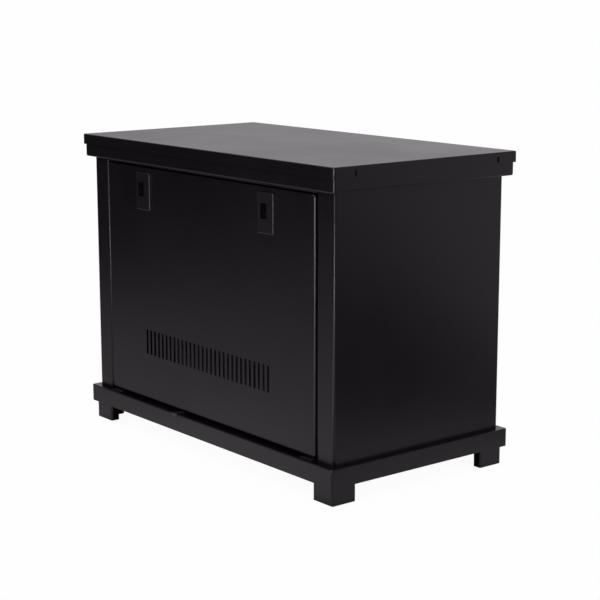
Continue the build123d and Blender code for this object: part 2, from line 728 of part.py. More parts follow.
def make_link_sleeves():
    with BuildPart() as sleeves:
        for x in GAP_X:
            with BuildSketch(at_x(x - SLEEVE_LENGTH / 2)):
                with Locations((TERM_Y, TERM_TOP + LINK_T / 2)):
                    RectangleRounded(21, 5.4, 1.2)
                    Rectangle(TERM_W + 0.1, LINK_T + 0.1, mode=Mode.SUBTRACT)
            extrude(amount=SLEEVE_LENGTH)
    save(sleeves.part, "link_sleeves")


def make_terminal_bolts():
    with BuildPart() as bolts:
        with BuildSketch(at_z(TERM_TOP + LINK_T)):
            with Locations(*TERMINALS):
                Circle(6.2)
        extrude(amount=BOLT_FLANGE_T)
        with BuildSketch(at_z(TERM_TOP + LINK_T + BOLT_FLANGE_T)):
            with Locations(*TERMINALS):
                RegularPolygon(5.6, 6)
        extrude(amount=4.0)
        chamfer(bolts.edges().group_by(Axis.Z)[-1], 0.6)
        with BuildSketch(at_z(TERM_TOP + LINK_T)):
            with Locations(*TERMINALS):
                Circle(3.0)
        extrude(amount=-10)
    save(bolts.part, "terminal_bolts")


# ------------------------------------------------------------------ hold-down bar, rods and nuts
BAR_Y, BAR_Z, BAR_HALF_D, BAR_T = 62.0, BAT_TOP + 1.6, 13, 2.0
BAR_HALF_W = 297
RODS = pair(291.5, BAR_Y + 2)
ROD_TOP = 288
NUT_BORE_R, NUT_FLANGE_T = 3.03, 1.2


def make_hold_down_bar():
    with BuildPart() as bar:
        with BuildSketch(at_x(-BAR_HALF_W)):
            with BuildLine():
                angle = FilletPolyline(
                    (BAR_Y - BAR_HALF_D, BAR_Z + 20), (BAR_Y - BAR_HALF_D, BAR_Z),
                    (BAR_Y + BAR_HALF_D, BAR_Z), radius=3.0,
                )
                offset(angle, amount=BAR_T, side=Side.LEFT, closed=True)
            make_face()
        extrude(amount=2 * BAR_HALF_W)
        with BuildSketch(at_z(BAT_TOP)):
            with Locations(*RODS):
                Circle(3.2)
        extrude(amount=8, mode=Mode.SUBTRACT)
    save(bar.part, "hold_down_bar")


def make_hold_down_rods():
    with BuildPart() as rods:
        with BuildSketch(at_z(FLOOR_Z + SHEET)):
            with Locations(*RODS):
                Circle(3.0)
        extrude(amount=ROD_TOP - FLOOR_Z - SHEET)
    save(rods.part, "hold_down_rods")


def make_hold_down_nuts():
    with BuildPart() as nuts:
        with BuildSketch(at_z(BAR_Z + BAR_T)):
            with Locations(*RODS):
                Circle(6.6)
                Circle(NUT_BORE_R, mode=Mode.SUBTRACT)
        extrude(amount=NUT_FLANGE_T)
        with BuildSketch(at_z(BAR_Z + BAR_T + NUT_FLANGE_T)):
            with Locations(*RODS):
                RegularPolygon(5.77, 6)
                Circle(NUT_BORE_R, mode=Mode.SUBTRACT)
        extrude(amount=5)
    save(nuts.part, "hold_down_nuts")


# ------------------------------------------------------------------ DIN rail and breaker
DIN_Z, DIN_DEPTH, DIN_LENGTH = 372.0, 7.5, 140
BREAKER_X, BREAKER_W, BREAKER_HALF_H = 190.0, 36, 42
POLE_X = (BREAKER_X - BREAKER_W / 4, BREAKER_X + BREAKER_W / 4)
SHOULDER, NOSE, NOSE_HALF_H = 53.75, 71.75, 23   # front faces, from the rear panel
MOUTH_Y = REAR_INNER - 35.75      # cable mouths
CLAMPS = [(x, DIN_Z + dz) for x in POLE_X for dz in (33, -33)]
# distance in front of the rear panel, height from the middle of the rail
BREAKER_PROFILE = (
    (4.75, -BREAKER_HALF_H), (4.75, -14.5), (6.4, -14.5), (6.4, -17.7),
    (7.6, -17.7), (7.6, 17.7), (6.4, 17.7), (6.4, 14.5),
    (4.75, 14.5), (4.75, BREAKER_HALF_H), (SHOULDER, BREAKER_HALF_H), (SHOULDER, NOSE_HALF_H),
    (NOSE, NOSE_HALF_H), (NOSE, -NOSE_HALF_H), (SHOULDER, -NOSE_HALF_H),
    (SHOULDER, -BREAKER_HALF_H),
)
LEVER_Y, LEVER_R, LEVER_W = REAR_INNER - NOSE + 6, 7.0, 26
LEVER_ANGLE = math.radians(25)    # arm above the horizontal
# tapered arm: distance out from the pivot, distance across the arm
LEVER_ARM = ((0, -2.6), (17, -2.0), (17, 2.0), (0, 2.6))
LEVER_WELL_R, LEVER_WELL_W = LEVER_R + 0.3, LEVER_W + 0.8


def make_din_rail():
    """Hat section: web flat against the panel, two lips standing off it."""
    with BuildPart() as rail:
        with BuildSketch(at_x(BREAKER_X - DIN_LENGTH / 2)):
            with Locations((REAR_INNER, DIN_Z)):
                Rectangle(1.0, 25.0, align=(Align.MAX, Align.CENTER))
            with Locations((REAR_INNER, DIN_Z + 13.0), (REAR_INNER, DIN_Z - 13.0)):
                Rectangle(DIN_DEPTH, 1.0, align=(Align.MAX, Align.CENTER))
            lip_y = REAR_INNER - DIN_DEPTH
            with Locations((lip_y, DIN_Z + 15.0), (lip_y, DIN_Z - 15.0)):
                Rectangle(1.0, 5.0, align=(Align.MIN, Align.CENTER))
        extrude(amount=DIN_LENGTH)
    save(rail.part, "din_rail")


def make_breaker_body():
    with BuildPart() as body:
        with BuildSketch(at_x(BREAKER_X - BREAKER_W / 2)):
            with BuildLine():
                outline = [(REAR_INNER - out, DIN_Z + up) for out, up in BREAKER_PROFILE]
                Polyline(*outline, close=True)
            make_face()
        extrude(amount=BREAKER_W)
        fillet(body.edges().filter_by(Axis.X).group_by(Axis.Y)[0], 1.5)
        # pole split line
        with BuildSketch(at_y(REAR_INNER - NOSE)):
            with Locations((BREAKER_X, DIN_Z)):
                Rectangle(0.8, 2 * NOSE_HALF_H)
        extrude(amount=-0.8, mode=Mode.SUBTRACT)
        # lever well
        with BuildSketch(at_x(BREAKER_X - LEVER_WELL_W / 2)):
            with Locations((LEVER_Y, DIN_Z)):
                Circle(LEVER_WELL_R)
            with Locations((REAR_INNER - NOSE - 2, DIN_Z)):
                Rectangle(9, 2 * LEVER_WELL_R, align=(Align.MIN, Align.CENTER))
        extrude(amount=LEVER_WELL_W, mode=Mode.SUBTRACT)
        # clamp-screw wells and cable mouths, one per pole, top and bottom
        with BuildSketch(at_y(REAR_INNER - SHOULDER)):
            with Locations(*CLAMPS):
                Circle(3.8)
        extrude(amount=-8, mode=Mode.SUBTRACT)
        for sz in (1, -1):
            with BuildSketch(at_z(DIN_Z + sz * BREAKER_HALF_H)):
                with Locations(*[(x, MOUTH_Y) for x in POLE_X]):
                    Circle(5.2)
            extrude(amount=-sz * 14, mode=Mode.SUBTRACT)
    save(body.part, "breaker_body")


def make_breaker_lever():
    cos, sin = math.cos(LEVER_ANGLE), math.sin(LEVER_ANGLE)
    arm = [
        (LEVER_Y - out * cos + across * sin, DIN_Z + out * sin + across * cos)
        for out, across in LEVER_ARM
    ]
    with BuildPart() as lever:
        with BuildSketch(at_x(BREAKER_X - LEVER_W / 2)):
            with Locations((LEVER_Y, DIN_Z)):
                Circle(LEVER_R)
            with BuildLine():
                Polyline(*arm, close=True)
            make_face()
        extrude(amount=LEVER_W)
        fillet(lever.edges().filter_by(Axis.X).group_by(Axis.Y)[0], 0.8)
    save(lever.part, "breaker_lever")


def make_breaker_clamp_screws():
    head = at_y(REAR_INNER - SHOULDER + 3)
    with BuildPart() as screws:
        with BuildSketch(head):
            with Locations(*CLAMPS):
                Circle(3.5)
        extrude(amount=-4.8)
        with BuildSketch(head):
            with Locations(*CLAMPS):
                Rectangle(5.6, 1.0)
        extrude(amount=-1.2, mode=Mode.SUBTRACT)
    save(screws.part, "breaker_clamp_screws")


# ------------------------------------------------------------------ battery cables and ring lugs
CABLE_R = 4.2
LUG_Z = TERM_TOP + 6.0            # axis of the lug barrels
# pole: terminal X, breaker pole X, points the cable passes through on the way
CABLES = {
    "positive": (BAT_X[-1] + TERM_DX, POLE_X[1], [(262, 0, 288), (235, 70, 304)]),
    "negative": (BAT_X[0] - TERM_DX, POLE_X[0], [
        (-250, -20, 290), (-205, 60, 302), (-110, 106, 300), (40, 112, 298), (135, 115, 300),
    ]),
}


def make_cable(pole, terminal_x, pole_x, middle):
    below_mouth = (pole_x, MOUTH_Y, DIN_Z - 52)
    with BuildPart() as cable:
        with BuildLine() as path:
            tail = Line((terminal_x, TERM_Y + 21, LUG_Z), (terminal_x, TERM_Y + 36, LUG_Z))
            Spline(tail @ 1, *middle, below_mouth, tangents=((0, 1, 0), (0, 0, 1)))
            Line(below_mouth, (pole_x, MOUTH_Y, DIN_Z - 32))
        with BuildSketch(Plane(origin=path.line @ 0, z_dir=path.line % 0)):
            Circle(CABLE_R)
        sweep()
    save(cable.part, f"{pole}_cable")


def make_cable_lugs():
    lug_x = [terminal_x for terminal_x, _, _ in CABLES.values()]
    with BuildPart() as lugs:
        with BuildSketch(at_z(TERM_TOP)):
            with Locations(*[(x, TERM_Y) for x in lug_x]):
                Circle(8.5)
                Rectangle(11, 15, align=(Align.CENTER, Align.MIN))
                Circle(LINK_HOLE_R, mode=Mode.SUBTRACT)
        extrude(amount=LINK_T)
        # barrel and its bore
        with BuildSketch(at_y(TERM_Y + 13)):
            with Locations(*[(x, LUG_Z) for x in lug_x]):
                Circle(6.0)
        extrude(amount=-20)
        with BuildSketch(at_y(TERM_Y + 20)):
            with Locations(*[(x, LUG_Z) for x in lug_x]):
                Circle(CABLE_R + 0.1)
        extrude(amount=-20, mode=Mode.SUBTRACT)
    save(lugs.part, "cable_lugs")


# ------------------------------------------------------------------ earth stud on the rear panel
# start, end (behind the inner face), radius: shank in the nuts, relief groove, free end
STUD_STEPS = ((-5.75, 5.15, 3.4), (5.15, 5.75, 2.6), (5.75, 15.25, 3.0))
EARTH_NUTS = ((-2.55, 0), (SHEET, 5.0))   # start, end


def make_earth_stud():
    with BuildPart() as stud:
        for start, end, radius in STUD_STEPS:
            with BuildSketch(at_y(REAR_INNER + start)):
                with Locations((EARTH_X, EARTH_Z)):
                    Circle(radius)
            extrude(amount=start - end)
    save(stud.part, "earth_stud")


def make_earth_nuts():
    with BuildPart() as nuts:
        for start, end in EARTH_NUTS:
            with BuildSketch(at_y(REAR_INNER + start)):
                with Locations((EARTH_X, EARTH_Z)):
                    RegularPolygon(6.4, 6)
                    Circle(3.42, mode=Mode.SUBTRACT)
            extrude(amount=start - end)
    save(nuts.part, "earth_nuts")


# ------------------------------------------------------------------ build everything
make_feet()
make_plinth_pan()
make_side_panels()
make_rear_panel()
make_rear_panel_screws()
make_cable_grommets()
make_top_ring()
make_top_cover()
make_cover_rivet_nuts()
make_cover_lock_screws()
make_front_top_rail()
make_front_sill()
make_panel_seal()
make_hinge_pins()
make_bond_tab()
make_front_panel()
for side, sx in SIDES:
    make_hinge_bracket(side, sx * HINGE_X)
    make_hinge_clip(side, sx * HINGE_X)
    make_latch_body(side, sx * LATCH_X)
    make_latch_slide(side, sx * LATCH_X)
    make_latch_back_plate(side, sx * LATCH_X)
make_latch_screws()
make_battery_tray()
make_battery_mat()
make_battery_spacers()
for number, x in enumerate(BAT_X, 1):
    make_battery_case(number, x)
    make_battery_lid(number, x)
make_battery_cells()
make_terminal_posts()
make_battery_links()
make_link_sleeves()
make_terminal_bolts()
make_hold_down_bar()
make_hold_down_rods()
make_hold_down_nuts()
make_din_rail()
make_breaker_body()
make_breaker_lever()
make_breaker_clamp_screws()
for pole, route in CABLES.items():
    make_cable(pole, *route)
make_cable_lugs()
make_earth_stud()
make_earth_nuts()
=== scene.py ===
"""Battery cabinet with four batteries in a row along X.

The front faces -Y, Z is up and the floor is at z = 0. Fitted pieces are drawn in
millimetres; shaders, floor, lights and camera are in metres.
"""

import json
import math

import bmesh
import bpy
from mathutils import Matrix, Vector


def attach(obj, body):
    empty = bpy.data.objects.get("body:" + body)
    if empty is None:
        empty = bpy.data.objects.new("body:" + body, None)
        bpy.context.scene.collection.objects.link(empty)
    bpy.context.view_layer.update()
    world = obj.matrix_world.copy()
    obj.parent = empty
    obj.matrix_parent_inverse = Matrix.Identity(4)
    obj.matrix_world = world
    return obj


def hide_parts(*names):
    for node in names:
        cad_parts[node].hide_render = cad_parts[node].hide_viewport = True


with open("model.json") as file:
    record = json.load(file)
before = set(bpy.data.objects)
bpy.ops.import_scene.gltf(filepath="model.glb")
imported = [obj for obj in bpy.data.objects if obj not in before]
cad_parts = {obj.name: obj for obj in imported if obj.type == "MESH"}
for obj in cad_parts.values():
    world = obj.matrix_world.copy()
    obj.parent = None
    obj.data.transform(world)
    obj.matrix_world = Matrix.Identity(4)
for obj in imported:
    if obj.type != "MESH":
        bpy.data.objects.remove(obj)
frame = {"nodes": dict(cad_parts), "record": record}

PARTS = frame["nodes"]
SCENE = bpy.context.scene
MM = 0.001


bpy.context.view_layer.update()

# Battery layout shared by several pieces (mm)
BATTERY_PITCH = 142.0
BATTERY_XS = [BATTERY_PITCH * step for step in (-1.5, -0.5, 0.5, 1.5)]
GAP_XS = (-BATTERY_PITCH, 0.0, BATTERY_PITCH)
TERMINAL_Y = -96.0


# ---------------------------------------------------------------- node helpers
class Net:
    """Makes and wires the nodes of one emptied shader tree."""

    def __init__(self, tree):
        self.nodes = tree.nodes
        self.links = tree.links
        self.nodes.clear()

    def put(self, socket, value):
        """Links a socket, or sets a plain value; colours are given as RGB."""
        if isinstance(value, bpy.types.NodeSocket):
            self.links.new(value, socket)
        elif socket.type == "RGBA":
            socket.default_value = (*value, 1.0)
        else:
            socket.default_value = value

    def add(self, kind, inputs=None, **settings):
        node = self.nodes.new("ShaderNode" + kind)
        for key, value in settings.items():
            setattr(node, key, value)
        for key, value in (inputs or {}).items():
            self.put(node.inputs[key], value)
        return node

    def math(self, operation, first, second=None):
        inputs = {0: first} if second is None else {0: first, 1: second}
        return self.add("Math", inputs, operation=operation).outputs[0]

    def times(self, value, by):
        return self.math("MULTIPLY", value, by)

    def noise(self, coords, scale, detail=3.0, rough=0.55, distortion=0.0):
        return self.add("TexNoise", {
            "Vector": coords, "Scale": scale, "Detail": detail,
            "Roughness": rough, "Distortion": distortion,
        }).outputs["Fac"]

    def voronoi(self, coords, scale, feature, output):
        node = self.add("TexVoronoi", {"Vector": coords, "Scale": scale}, feature=feature)
        return node.outputs[output]

    def ramp(self, factor, stops):
        """Colour ramp; stops are (position, grey or RGB)."""
        node = self.add("ValToRGB", {"Fac": factor})
        elements = node.color_ramp.elements
        while len(elements) < len(stops):
            elements.new(0.5)
        for element, (position, colour) in zip(elements, stops):
            element.position = position
            rgb = (colour,) * 3 if isinstance(colour, float) else colour
            element.color = (*rgb, 1.0)
        return node.outputs["Color"]

    def span(self, value, over, to=(0.0, 1.0)):
        """Maps the range `over` linearly onto the range `to`, clamped."""
        return self.add("MapRange", {
            "Value": value, "From Min": over[0], "From Max": over[1],
            "To Min": to[0], "To Max": to[1],
        }, clamp=True).outputs["Result"]

    def mix(self, factor, first, second, blend="MIX"):
        # sockets 6 and 7 are the colour pair of the mix node
        inputs = {"Factor": factor, 6: first, 7: second}
        return self.add("Mix", inputs, data_type="RGBA", blend_type=blend).outputs[2]

    def bump(self, height, strength, distance, normal=None):
        inputs = {"Strength": strength, "Distance": distance, "Height": height}
        if normal is not None:
            inputs["Normal"] = normal
        return self.add("Bump", inputs).outputs["Normal"]

    def scaled(self, coords, factors):
        return self.add("VectorMath", {0: coords, 1: factors}, operation="MULTIPLY").outputs[0]

    def axes(self, coords):
        return self.add("SeparateXYZ", {0: coords}).outputs

    def split_by_ray(self, output, lighting, seen):
        """Shows one shader to the camera and another to every other ray."""
        path = self.add("LightPath")
        inputs = {0: path.outputs["Is Camera Ray"], 1: lighting.outputs[0], 2: seen.outputs[0]}
        mixed = self.add("MixShader", inputs)
        self.put(output.inputs["Surface"], mixed.outputs[0])


def material(name, look, **settings):
    """A principled material whose inputs are what `look` returns."""
    mat = bpy.data.materials.new(name)
    mat.use_nodes = True
    net = Net(mat.node_tree)
    output = net.add("OutputMaterial")
    bsdf = net.add("BsdfPrincipled")
    net.put(output.inputs["Surface"], bsdf.outputs[0])
    coords = net.add("TexCoord").outputs["Object"]
    for key, value in look(net, coords, **settings).items():
        net.put(bsdf.inputs[key], value)
    return mat


def shade(colour, factor):
    return [channel * factor for channel in colour]


def edge_mask(net):
    """1 near outer edges, 0 on flats, from a rounded copy of the normal."""
    bevel = net.add("Bevel", {"Radius": 0.0012}, samples=4)
    normal = net.add("NewGeometry").outputs["Normal"]
    dot = net.add("VectorMath", {0: bevel.outputs[0], 1: normal}, operation="DOT_PRODUCT")
    return net.span(dot.outputs["Value"], over=(0.995, 0.90))


# ---------------------------------------------------------------- looks
def powder(net, coords, base, tint, rough=0.29, wear=0.55):
    """Powder coat: orange peel, micro grain, handling haze, polished outer edges and a painted
    highlight that lightens their colour.
    """
    haze = net.noise(coords, scale=5.5, detail=4.0, rough=0.6, distortion=0.4)
    streak = net.noise(net.scaled(coords, (9.0, 9.0, 1.6)), scale=1.0, rough=0.5)
    peel = net.noise(coords, scale=520.0, detail=2.0, rough=0.5)
    grain = net.noise(coords, scale=1500.0, detail=2.0, rough=0.6)
    edge = edge_mask(net)
    colour = net.mix(net.span(haze, over=(0.3, 0.75)), shade(base, 0.86), shade(base, 1.16))
    colour = net.mix(net.times(net.span(streak, over=(0.52, 0.78)), by=0.25), colour, tint)
    # painted highlight: outer edges mixed towards a lighter copy of the base colour
    colour = net.mix(net.times(edge, by=wear), colour, shade(base, 3.2))
    roughness = net.span(haze, over=(0.25, 0.8), to=(rough - 0.035, rough + 0.05))
    grain_change = net.span(grain, over=(0.3, 0.7), to=(-0.02, 0.02))
    roughness = net.math("ADD", roughness, grain_change)
    roughness = net.math("SUBTRACT", roughness, net.times(edge, by=0.08))
    normal = net.bump(peel, strength=0.22, distance=0.00022)
    normal = net.bump(grain, strength=0.16, distance=0.00009, normal=normal)
    return {
        "Base Color": colour, "Roughness": roughness, "Normal": normal,
        "IOR": 1.5, "Specular Tint": (1.0, 0.885, 0.99),
    }


def plated(net, coords, base, rough, spangle=0.25, brushed=None):
    """Bare or plated metal; `brushed` stretches the fine relief along the small factors."""
    cell = net.voronoi(coords, scale=420.0, feature="F1", output="Color")
    soft = net.noise(coords, scale=38.0, detail=4.0, rough=0.6)
    dulling = net.times(net.span(soft, over=(0.35, 0.7)), by=0.5)
    colour = net.mix(dulling, base, shade(base, 0.78))
    colour = net.mix(spangle * 0.4, colour, cell, "OVERLAY")
    roughness = net.span(soft, over=(0.3, 0.75), to=(rough - 0.06, rough + 0.12))
    if brushed:
        relief = net.noise(net.scaled(coords, brushed), scale=1.0)
    else:
        relief = net.noise(coords, scale=700.0)
    return {
        "Base Color": colour, "Metallic": 1.0, "Roughness": roughness,
        "Normal": net.bump(relief, strength=0.12, distance=0.00008),
    }


def moulded(net, coords, base, rough, grain, depth=0.00008, vary=0.12, spec=0.5):
    """Moulded plastic with a fine cell texture."""
    texture = net.voronoi(coords, scale=grain, feature="SMOOTH_F1", output="Distance")
    haze = net.noise(coords, scale=22.0, detail=4.0, rough=0.6)
    tone = net.span(haze, over=(0.3, 0.72))
    return {
        "Base Color": net.mix(tone, shade(base, 1 - vary), shade(base, 1 + vary)),
        "Roughness": net.span(haze, over=(0.3, 0.75), to=(rough - 0.05, rough + 0.07)),
        "Normal": net.bump(texture, strength=0.35, distance=depth),
        "Specular IOR Level": spec,
    }


def rubber(net, coords, base, rough):
    """Matt rubber with a little pale dust."""
    dust = net.noise(coords, scale=60.0, detail=5.0, rough=0.65)
    fine = net.noise(coords, scale=1400.0, detail=2.0)
    dusty = [channel * 1.5 + 0.006 for channel in base]
    return {
        "Base Color": net.mix(net.span(dust, over=(0.5, 0.85)), base, dusty),
        "Roughness": net.span(dust, over=(0.3, 0.8), to=(rough - 0.08, rough + 0.08)),
        "Normal": net.bump(fine, strength=0.3, distance=0.0001),
        "Specular IOR Level": 0.4,
    }


def printed_label(net, coords, ground, foot):
    """Matt film label: pale ground, a coloured band along the foot and fine ruled lines."""
    x, _, z = net.axes(coords)
    scuff = net.noise(coords, scale=240.0, detail=4.0, rough=0.6)
    colour = net.mix(net.span(z, over=(0.2296, 0.2294)), ground, foot)
    # x measured from the middle of each label
    pitch = BATTERY_PITCH * MM
    along = net.math("MODULO", net.math("ADD", x, 2 * pitch), pitch)
    along = net.math("SUBTRACT", along, pitch / 2)
    # ruled lines: a sine in z, kept between two heights and two sides
    wave = net.math("SINE", net.times(z, by=3300.0))
    lines = net.span(wave, over=(0.55, 0.75))
    above_foot = net.span(z, over=(0.2312, 0.2315))
    below_top = net.span(z, over=(0.2392, 0.2389))
    lines = net.times(lines, by=net.times(above_foot, by=below_top))
    within = net.span(net.math("ABSOLUTE", along), over=(0.036, 0.0355))
    lines = net.times(lines, by=within)
    colour = net.mix(net.times(lines, by=0.75), colour, (0.05, 0.05, 0.055))
    scuffed = net.times(net.span(scuff, over=(0.55, 0.85)), by=0.25)
    colour = net.mix(scuffed, colour, (0.30, 0.30, 0.30))
    relief = net.noise(coords, scale=900.0, detail=2.0)
    return {
        "Base Color": colour,
        "Roughness": net.span(scuff, over=(0.3, 0.8), to=(0.38, 0.52)),
        "Normal": net.bump(relief, strength=0.08, distance=0.00005),
    }


# ---------------------------------------------------------------- materials
# Keyed by material slot; rating_label and dull_zinc are chosen by piece instead
MATERIALS = {
    "rating_label": material(
        "battery_rating_label", printed_label,
        ground=(0.62, 0.63, 0.62), foot=(0.03, 0.16, 0.09)),
    "black_powder_coat": material(
        "powder_coat_black", powder,
        base=(0.0034, 0.0020, 0.0033), tint=(0.0060, 0.0042, 0.0058)),
    "black_tray_paint": material(
        "tray_paint_black", powder,
        base=(0.013, 0.013, 0.014), tint=(0.02, 0.02, 0.021), rough=0.48, wear=0.35),
    "zinc_plated_steel": material(
        "zinc_plate", plated, base=(0.58, 0.59, 0.62), rough=0.34),
    "dull_zinc": material(
        "zinc_passivated_dark", plated, base=(0.10, 0.10, 0.105), rough=0.46, spangle=0.2),
    "black_steel_screws": material(
        "black_oxide", plated, base=(0.035, 0.035, 0.038), rough=0.38, spangle=0.0),
    "latch_plastic": material(
        "latch_moulding", moulded, base=(0.0062, 0.0046, 0.0062), rough=0.33, grain=1100.0),
    "latch_slide_plastic": material(
        "latch_slide_moulding", moulded,
        base=(0.0020, 0.0016, 0.0020), rough=0.55, grain=1300.0, spec=0.16),
    "seal_rubber": material(
        "seal_rubber", rubber, base=(0.012, 0.012, 0.012), rough=0.72),
    "spacer_foam_board": material(
        "spacer_board", moulded,
        base=(0.16, 0.16, 0.165), rough=0.8, grain=420.0, depth=0.00025, vary=0.18),
    "battery_case_plastic": material(
        "battery_case", moulded,
        base=(0.045, 0.047, 0.050), rough=0.52, grain=700.0, depth=0.00012),
    "battery_lid_plastic": material(
        "battery_lid", moulded, base=(0.022, 0.023, 0.025), rough=0.38, grain=900.0),
    "plate_pack": material(
        "plate_pack", plated, base=(0.30, 0.31, 0.33), rough=0.6, spangle=0.3),
    "terminal_brass": material(
        "terminal_brass", plated, base=(0.62, 0.48, 0.26), rough=0.36, spangle=0.1),
    "link_copper": material(
        "link_copper", plated,
        base=(0.70, 0.36, 0.22), rough=0.34, spangle=0.1, brushed=(2600.0, 90.0, 90.0)),
    "link_sleeve_plastic": material(
        "link_sleeve", moulded, base=(0.016, 0.016, 0.018), rough=0.34, grain=1500.0),
    "stainless_bolts": material(
        "stainless", plated, base=(0.60, 0.59, 0.58), rough=0.26, spangle=0.1),
    "cable_red": material("cable_red", rubber, base=(0.42, 0.012, 0.010), rough=0.46),
    "cable_black": material("cable_black", rubber, base=(0.014, 0.014, 0.015), rough=0.46),
    "tinned_copper": material(
        "tinned_copper", plated, base=(0.68, 0.67, 0.65), rough=0.3, spangle=0.2),
    "breaker_housing": material(
        "breaker_housing", moulded,
        base=(0.58, 0.58, 0.56), rough=0.5, grain=800.0, depth=0.0001, vary=0.05),
    "breaker_toggle": material(
        "breaker_toggle", moulded, base=(0.02, 0.02, 0.022), rough=0.34, grain=1200.0),
}
DULL_ZINC_PARTS = ("bond_tab", "hinge_bracket_left", "hinge_bracket_right")

for subpart in frame["record"]["subparts"]:
    node_name = subpart["node"]
    key = "dull_zinc" if node_name in DULL_ZINC_PARTS else subpart["material_slot"]
    part_mesh = PARTS[node_name].data
    part_mesh.materials.clear()
    part_mesh.materials.append(MATERIALS[key])
    for polygon in part_mesh.polygons:
        polygon.material_index = 0

# ---------------------------------------------------------------- rolled edges
# Bevel width (mm): the parts that get it
EDGE_WIDTHS = {
    0.12: ["bond_tab"],
    0.15: ["din_rail", "hinge_bracket_left", "hinge_bracket_right", "hinge_clip_left",
           "hinge_clip_right", "rear_panel_screws", "cover_lock_screws"],
    0.2: ["terminal_bolts"],
    0.25: ["rear_panel", "latch_left_slide", "latch_right_slide", "front_sill",
           "front_top_rail", "hold_down_nuts", "earth_stud"],
    0.3: ["top_ring", "top_cover", "side_panel_left", "side_panel_right", "hold_down_bar",
          "battery_links", "cable_grommets", "earth_nuts"],
    0.35: ["plinth_pan", "cable_lugs", *(f"battery_{i}_case" for i in range(1, 5))],
    0.4: ["battery_tray", "battery_terminal_posts"],
    0.45: ["breaker_body", *(f"battery_{i}_lid" for i in range(1, 5))],
    0.5: ["breaker_lever"],
}


def soften(part, width):
    """A small rolled edge on a folded or moulded part."""
    weld = part.modifiers.new("join", "WELD")
    weld.merge_threshold = 1e-6
    bevel = part.modifiers.new("edge", "BEVEL")
    bevel.width = width
    bevel.segments = 2
    bevel.limit_method = "ANGLE"
    bevel.angle_limit = math.radians(35.0)
    bevel.use_clamp_overlap = True


for edge_width, names in EDGE_WIDTHS.items():
    for part_name in names:
        soften(PARTS[part_name], edge_width * MM)


# ---------------------------------------------------------------- mesh helpers
def fit(name, mesh, slot, crisp, replaces=None, look=None):
    """Turns a bmesh (mm) into a smooth piece on the cabinet, creased above `crisp` degrees."""
    bmesh.ops.scale(mesh, vec=(MM, MM, MM), verts=mesh.verts)
    bmesh.ops.recalc_face_normals(mesh, faces=mesh.faces)
    limit = math.radians(crisp)
    for face in mesh.faces:
        face.smooth = True
    for edge in mesh.edges:
        edge.smooth = len(edge.link_faces) == 2 and edge.calc_face_angle(0.0) < limit
    data = bpy.data.meshes.new(name)
    mesh.to_mesh(data)
    mesh.free()
    piece = bpy.data.objects.new(name, data)
    SCENE.collection.objects.link(piece)
    data.materials.append(MATERIALS[look or slot])
    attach(piece, "cabinet")
    if replaces:
        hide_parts(replaces)


def add_row(mesh, points):
    return [mesh.verts.new(point) for point in points]


def add_quad(mesh, near, far, j, k):
    mesh.faces.new((near[j], near[k], far[k], far[j]))


def skin(mesh, rings, looped=False):
    """Joins closed rings; the last meets the first if looped, otherwise both ends are capped."""
    count = len(rings[0])
    followers = rings[1:] + rings[:1] if looped else rings[1:]
    for near, far in zip(rings, followers):
        for j in range(count):
            add_quad(mesh, near, far, j, (j + 1) % count)
    if not looped:
        mesh.faces.new(list(reversed(rings[0])))
        mesh.faces.new(rings[-1])


def rounded_rect(width, height, radius, steps=5):
    points = []
    for side, end, start in ((1, 1, 0), (-1, 1, 90), (-1, -1, 180), (1, -1, 270)):
        for i in range(steps + 1):
            angle = math.radians(start + 90 * i / steps)
            points.append((side * (width / 2 - radius) + radius * math.cos(angle),
                           end * (height / 2 - radius) + radius * math.sin(angle)))
    return points


def unit_circle(count):
    angles = [2 * math.pi * j / count for j in range(count)]
    return [(math.cos(angle), math.sin(angle)) for angle in angles]


# ---------------------------------------------------------------- door seal
def seal_profile():
    """Strip with a round bulb: (share of the strip width from its outer edge, y)."""
    profile = [(0.0, -146.05), (0.0, -147.1), (0.14, -147.25)]
    for i in range(13):
        angle = math.pi * i / 12
        profile.append((0.54 - 0.36 * math.cos(angle), -147.3 - 2.15 * math.sin(angle) ** 0.85))
    return profile + [(0.95, -147.2), (1.0, -147.05), (1.0, -146.05)]


def build_seal():
    """Rectangular frame of the seal profile, mitred at the corners."""
    half_width, bottom, top = 265.0, 80.0, 434.0
    side_width, end_width = 8.2, 9.0
    stations = 24  # per side, to keep the shading even
    mesh = bmesh.new()
    corners = []
    for side, at_top in ((-1, False), (1, False), (1, True), (-1, True)):
        corners.append(add_row(mesh, [
            (side * (half_width - side_width * share), y,
             top - end_width * share if at_top else bottom + end_width * share)
            for share, y in seal_profile()]))
    rings = []
    for near, far in zip(corners, corners[1:] + corners[:1]):
        rings.append(near)
        for step in range(1, stations):
            rings.append(add_row(mesh, [
                start.co.lerp(end.co, step / stations) for start, end in zip(near, far)]))
    skin(mesh, rings, looped=True)
    fit("seal_bulb", mesh, "seal_rubber", crisp=30.0, replaces="panel_seal")


build_seal()


